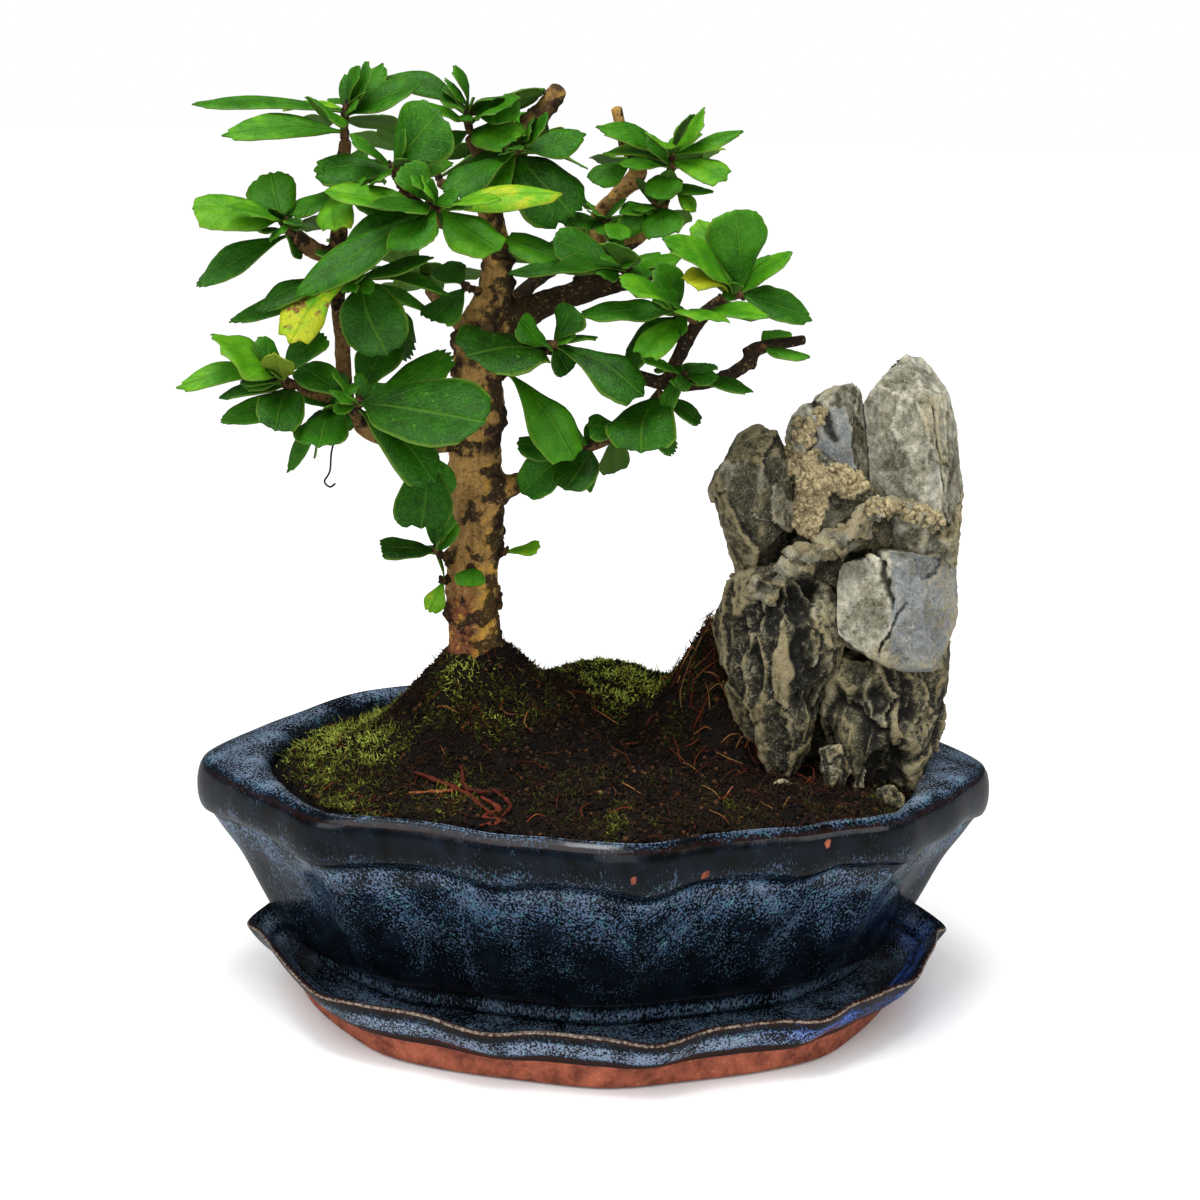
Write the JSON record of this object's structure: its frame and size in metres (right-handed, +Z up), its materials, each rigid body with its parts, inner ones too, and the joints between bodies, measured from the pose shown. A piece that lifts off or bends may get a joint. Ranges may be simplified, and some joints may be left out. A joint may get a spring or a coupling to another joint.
{
  "type": "fukien tea bonsai",
  "caption": "Small leafy bonsai tree on a mossy mound in a glazed lozenge pot with a rough cemented rock, standing on a flared glazed saucer.",
  "frame": {"origin": "middle of the saucer's flat underside", "axes": "+Z up, -Y towards the front of the pot, +X towards the end where the rock stands"},
  "size_m": [0.24, 0.18, 0.2762],
  "materials": {
    "glaze": "near-black blue speckled gloss glaze, thin and brown on edges, bare terracotta at the saucer's foot",
    "soil": "dark crumbly soil with green moss",
    "bark": "tan bark with dark patches and nubs",
    "leaf": "glossy dark green leaf with paler veins",
    "stone": "rough blue-grey and pale grey limestone",
    "mortar": "sandy tan cement",
    "chip": "dry bark chip",
    "root": "red-brown fibrous root"
  },
  "bodies": {
    "root": {"saucer": "glaze", "pot": "glaze", "soil": "soil", "trunk": "bark", "shoot_top_left": "leaf", "shoot_upper_left": "leaf", "shoot_top": "leaf", "shoot_stub": "leaf", "shoot_stub_back": "leaf", "shoot_left": "leaf", "shoot_left_inner": "leaf", "shoot_front": "leaf", "shoot_centre_left": "leaf", "shoot_lower_left": "leaf", "shoot_lower_left_inner": "leaf", "shoot_big_front": "leaf", "shoot_hanging": "leaf", "trunk_shoot_left": "leaf", "sprout_front": "leaf", "sprout_left": "leaf", "sprout_right": "leaf", "shoot_dark_front": "leaf", "sprout_right_high": "leaf", "shoot_right_low": "leaf", "shoot_twig_base": "leaf", "shoot_twig_end": "leaf", "shoot_upper_right": "leaf", "shoot_upper_right_low": "leaf", "shoot_upper_mid": "leaf", "shoot_right_inner": "leaf", "shoot_right": "leaf", "shoot_middle": "leaf", "shoot_middle_up": "leaf", "shoot_trunk_left": "leaf", "shoot_back_left": "leaf", "shoot_back_right": "leaf", "shoot_back_top": "leaf", "rock_spire": "stone", "rock_boulder": "stone", "rock_wedge": "stone", "rock_slab_front": "stone", "rock_columns_left": "stone", "rock_columns_right": "stone", "rock_foot": "stone", "rock_edge": "stone", "rock_back": "stone", "rock_mortar": "mortar", "loose_stone_pale": "stone", "loose_stone_brown": "stone", "bark_chip_front": "chip", "bark_chip_back": "chip", "surface_roots": "root"}
  },
  "joints": []
}
